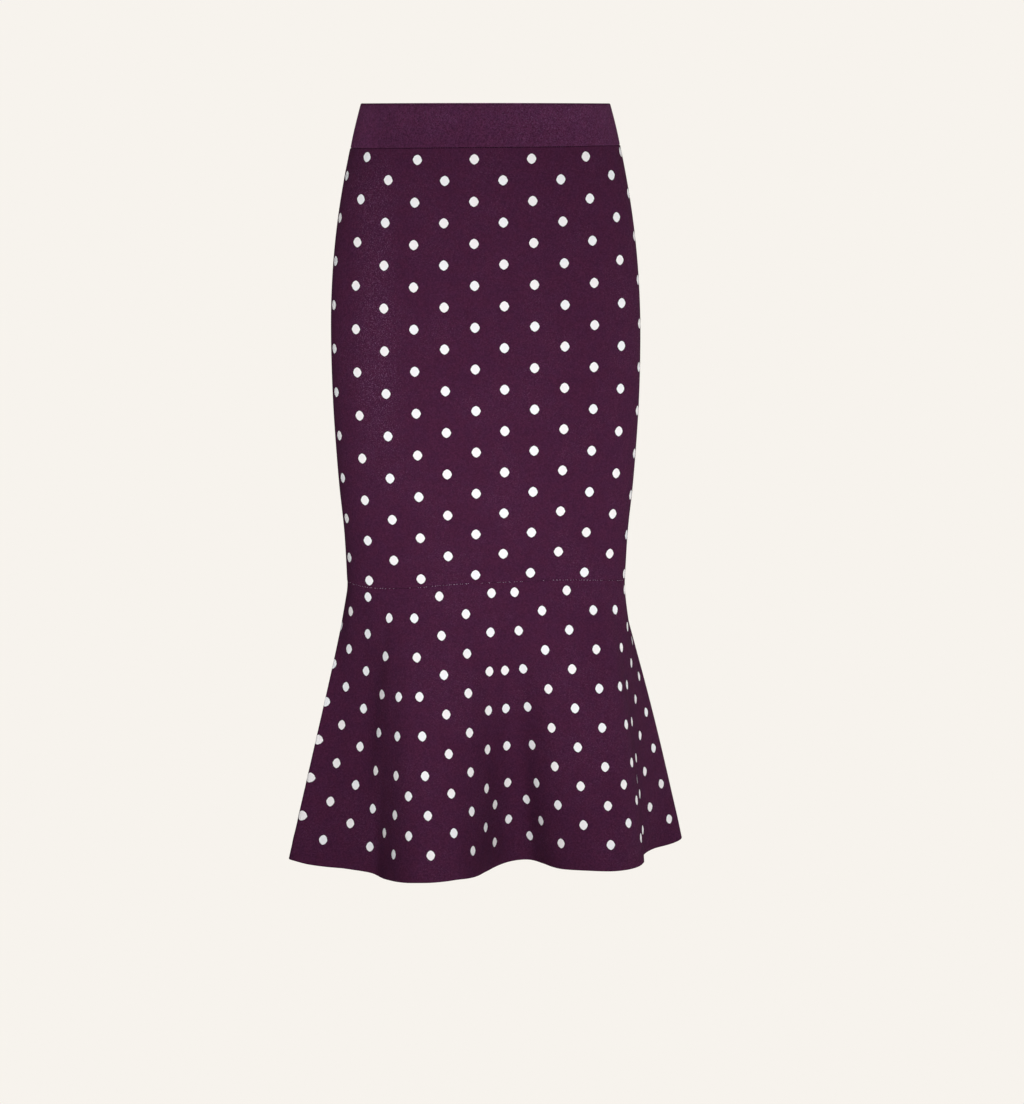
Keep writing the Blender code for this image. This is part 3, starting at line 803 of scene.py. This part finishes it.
def flounce_panel(name, first, last):
    first, last = first + SEAM / 2, last - SEAM / 2
    stops = sorted([first, last] + [x + k * ROUND_TOP for k in (-1, 0, 1) for x in (*TOP, *GODET_MIDDLE)
                                    if first + 0.001 < x + k * ROUND_TOP < last - 0.001])
    stops = [x for i, x in enumerate(stops) if i == 0 or x - stops[i - 1] > 1e-5]
    edge = [0, 0.00005, 0.00012, 0.00022, 0.00036, 0.00055, 0.00085, 0.0012, 0.0018]
    out = [first + e for e in edge]
    for a, b in zip(stops[:-1], stops[1:]):
        a2, b2 = max(a, first + edge[-1]), min(b, last - edge[-1])
        in_godet = np.interp((a + b) / 2 % ROUND_TOP + 1e-5, TOP, FOOT) - np.interp((a + b) / 2 % ROUND_TOP - 1e-5, TOP, FOOT) > 3e-5
        out += marks_between(a2, b2, 0.00095 if in_godet else 0.0031)[1:]
    out += [last - e for e in edge[::-1]][1:]
    across = np.array(out)
    downs = with_edges([SEAM / SLANT, 1.0], SLANT, 0.0125)
    wide = lambda u, v: np.linalg.norm(np.gradient(flounce_point(u, v), axis=1), axis=-1) / np.gradient(u, axis=1)
    sides = lambda u, v: np.minimum(u - across[0], across[-1] - u) * wide(u, v)
    top = lambda u, v: (v - downs[0]) * SLANT
    low = lambda u, v: (downs[-1] - v) * SLANT
    pick = (dots_f[:, 0] > first - 0.06) & (dots_f[:, 0] < last + 0.06)
    return shell(name, flounce_point, across, downs, KNIT, flounce_relief,
                 [(sides, 0.0004), (top, 0.00010), (low, KNIT / 2)], flounce_knit,
                 (dots_f[pick], flounce_apart, measure_f[pick]), [dotted, reverse])


flounce_front = flounce_panel("skirt_flounce_front", side_left, side_right)
flounce_back = flounce_panel("skirt_flounce_back", side_right, side_left + ROUND_TOP)

# the seam's thread, which grins between the stitches along the knee seam in short uneven runs
def thread_dashes(name, seed, pitch, material):
    random = np.random.default_rng(seed)
    places = np.arange(0, ROUND_TOP, pitch)
    places = places + random.uniform(-0.3, 0.3, len(places)) * pitch
    columns = places / ROUND_TOP * COLUMNS
    run = 0.5 + 0.5 * ripple(columns, 11, [(0.33, 0.55), (0.71, 0.5), (1.9, 0.35)]) + random.uniform(-0.35, 0.35, len(places))
    verts, faces = [], []
    for c, shows in zip(columns, run):
        if shows < 0.35:
            continue
        ends = np.array([c - 0.01, c + 0.01])
        a, b = body_point(ends, np.array([1.0, 1.0]))
        along = (b - a) / np.linalg.norm(b - a)
        below = flounce_point(np.array([c / COLUMNS * ROUND_TOP]), np.array([0.01]))[0]
        fall = below - (a + b) / 2
        fall -= along * (fall @ along)
        fall /= np.linalg.norm(fall)
        out = np.cross(fall, along)
        half = random.uniform(0.25, 0.55) / 1000 * min(1.4, 0.6 + shows)
        thick = random.uniform(0.14, 0.22) / 1000 * min(1.3, 0.7 + shows / 2)
        turn = random.uniform(-0.5, 0.3)
        way = along * cos(turn) - fall * sin(turn)
        side = along * sin(turn) + fall * cos(turn)
        middle = (a + b) / 2 + out * 0.00008 - fall * random.uniform(-0.15, 0.25) / 1000
        base = len(verts)
        steps, sides = 7, 8
        for i in range(1, steps):
            angle = pi * i / steps
            for k in range(sides):
                f = 2 * pi * k / sides
                verts.append(middle - way * (half * cos(angle)) + (side * cos(f) + out * sin(f)) * (thick * sin(angle) ** 0.5))
        first, last = len(verts), len(verts) + 1
        verts += [middle - way * half, middle + way * half]
        for i in range(steps - 2):
            for k in range(sides):
                p, r = base + i * sides + k, base + i * sides + (k + 1) % sides
                faces.append((p, r, r + sides, p + sides))
        for k in range(sides):
            faces.append((first, base + (k + 1) % sides, base + k))
            top = base + (steps - 2) * sides
            faces.append((last, top + k, top + (k + 1) % sides))
    verts = np.array(verts)
    verts[:, 1] += WAIST_SHIFT
    mesh = bpy.data.meshes.new(name)
    mesh.from_pydata(verts, [], faces)
    mesh.shade_smooth()
    mesh.materials.append(material)
    ob = bpy.data.objects.new(name, mesh)
    bpy.context.scene.collection.objects.link(ob)
    return ob


def thread_face(name, colour):
    """Twisted sewing thread."""
    g = Graph(name)
    place = g.place()
    twist = g.noise(place, 2400.0, 2.0, 0.5)
    shade = g.noise(place, 60.0, 2.0, 0.5)
    # painted shade: the thread is darker where its twist sinks, following the same noise as its bump
    value = g.mul(g.add(0.72, g.mul(0.5, twist)), g.add(0.75, g.mul(0.5, shade)))
    return g.finish(g.scaled(colour, value), 0.7, twist, 0.00005, strength=0.5, specular=0.2)


knee_thread = thread_dashes("skirt_knee_stitches", 4, 0.0030, thread_face("lilac_thread", THREAD))
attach(knee_thread, "root")

for piece, node, slot in ((waistband, "waistband", "plain_knit"), (body_front, "body_front", "dotted_knit"),
                          (body_back, "body_back", "dotted_knit"), (flounce_front, "flounce_front", "dotted_knit"),
                          (flounce_back, "flounce_back", "dotted_knit")):
    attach(piece, "root")
    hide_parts(node)

# ------------------------------------------------------------------------------------------------ stage, light, camera
CREAM = linear(247, 243, 237)

world = bpy.data.worlds.new("studio")
bpy.context.scene.world = world
world.use_nodes = True
wt = world.node_tree
wt.nodes.clear()
seen = wt.nodes.new("ShaderNodeBackground")
seen.inputs[0].default_value = (*CREAM, 1)
lit = wt.nodes.new("ShaderNodeBackground")
lit.inputs[0].default_value = (1, 0.985, 0.965, 1)
# the surround is bright to the sides and below, and falls off overhead
way = wt.nodes.new("ShaderNodeTexCoord")
split = wt.nodes.new("ShaderNodeSeparateXYZ")
fall = wt.nodes.new("ShaderNodeMapRange")
fall.interpolation_type = "SMOOTHSTEP"
for socket, value in (("From Min", 0.0), ("From Max", 0.5), ("To Min", 0.57), ("To Max", 0.07)):
    fall.inputs[socket].default_value = value
wt.links.new(way.outputs["Generated"], split.inputs[0])
wt.links.new(split.outputs[2], fall.inputs[0])
wt.links.new(fall.outputs[0], lit.inputs[1])
path = wt.nodes.new("ShaderNodeLightPath")
mixed = wt.nodes.new("ShaderNodeMixShader")
out = wt.nodes.new("ShaderNodeOutputWorld")
wt.links.new(path.outputs["Is Camera Ray"], mixed.inputs[0])
wt.links.new(lit.outputs[0], mixed.inputs[1])
wt.links.new(seen.outputs[0], mixed.inputs[2])
wt.links.new(mixed.outputs[0], out.inputs[0])

# a plain pale floor under the wearer's feet, evenly lit
floor_mesh = bpy.data.meshes.new("floor")
ring = [(6 * cos(2 * pi * k / 96), 6 * sin(2 * pi * k / 96), -1.12) for k in range(96)]
floor_mesh.from_pydata(ring, [], [tuple(range(96))])
floor = bpy.data.objects.new("floor", floor_mesh)
bpy.context.scene.collection.objects.link(floor)
g = Graph("pale_floor")
glow = g.node("ShaderNodeEmission")
glow.inputs[0].default_value = (*CREAM, 1)
matte = g.node("ShaderNodeBsdfDiffuse")
matte.inputs[0].default_value = (0.86, 0.84, 0.80, 1)
path = g.node("ShaderNodeLightPath")
mixed = g.node("ShaderNodeMixShader")
out = g.node("ShaderNodeOutputMaterial")
g.put(mixed.inputs[0], path.outputs["Is Camera Ray"])
g.put(mixed.inputs[1], matte.outputs[0])
g.put(mixed.inputs[2], glow.outputs[0])
g.put(out.inputs[0], mixed.outputs[0])
floor_mesh.materials.append(g.mat)


def softbox(name, where, towards, size, power, colour=(1, 1, 1), spread=180):
    data = bpy.data.lights.new(name, "AREA")
    data.shape = "RECTANGLE"
    data.size, data.size_y = size
    data.energy = power
    data.color = colour
    data.spread = radians(spread)
    ob = bpy.data.objects.new(name, data)
    bpy.context.scene.collection.objects.link(ob)
    ob.location = where
    ob.rotation_euler = (Vector(towards) - Vector(where)).to_track_quat("-Z", "Y").to_euler()
    ob.visible_camera = False
    return ob


def round_the_skirt(azimuth, distance, height):
    """A place at this many degrees from the front towards +X."""
    return (distance * sin(radians(azimuth)), -distance * cos(radians(azimuth)), height)


softbox("key", round_the_skirt(6, 1.20, -0.47), (0, 0, -0.41), (0.6, 0.6), 3.85, spread=96)
softbox("right_edge", round_the_skirt(106, 3.0, -0.75), (0, 0, -0.55), (1.0, 1.2), 45)
softbox("left_edge", round_the_skirt(-80, 1.9, 0.35), (-0.08, 0, -0.14), (0.5, 0.6), 0.48, spread=40)
softbox("left_low", round_the_skirt(-80, 1.9, -0.30), (-0.12, 0, -0.62), (0.5, 0.6), 0.30, spread=60)

# a little light down through the waist, so that the wrong side of the knit can be seen from above
softbox("inside", (0, WAIST_SHIFT, 0.30), (0, WAIST_SHIFT, -0.4), (0.06, 0.03), 0.45, spread=36)

camera = bpy.data.cameras.new("camera")
camera.lens = 98.294
camera.sensor_width = 36
camera.clip_start, camera.clip_end = 0.05, 50
cam = bpy.data.objects.new("camera", camera)
bpy.context.scene.collection.objects.link(cam)
cam.location = (0.02783, -3.2105, 0)
cam.rotation_euler = (radians(90 - 8.472), 0, 0)
bpy.context.scene.camera = cam

bpy.context.scene.view_settings.view_transform = "Standard"
bpy.context.scene.view_settings.look = "None"
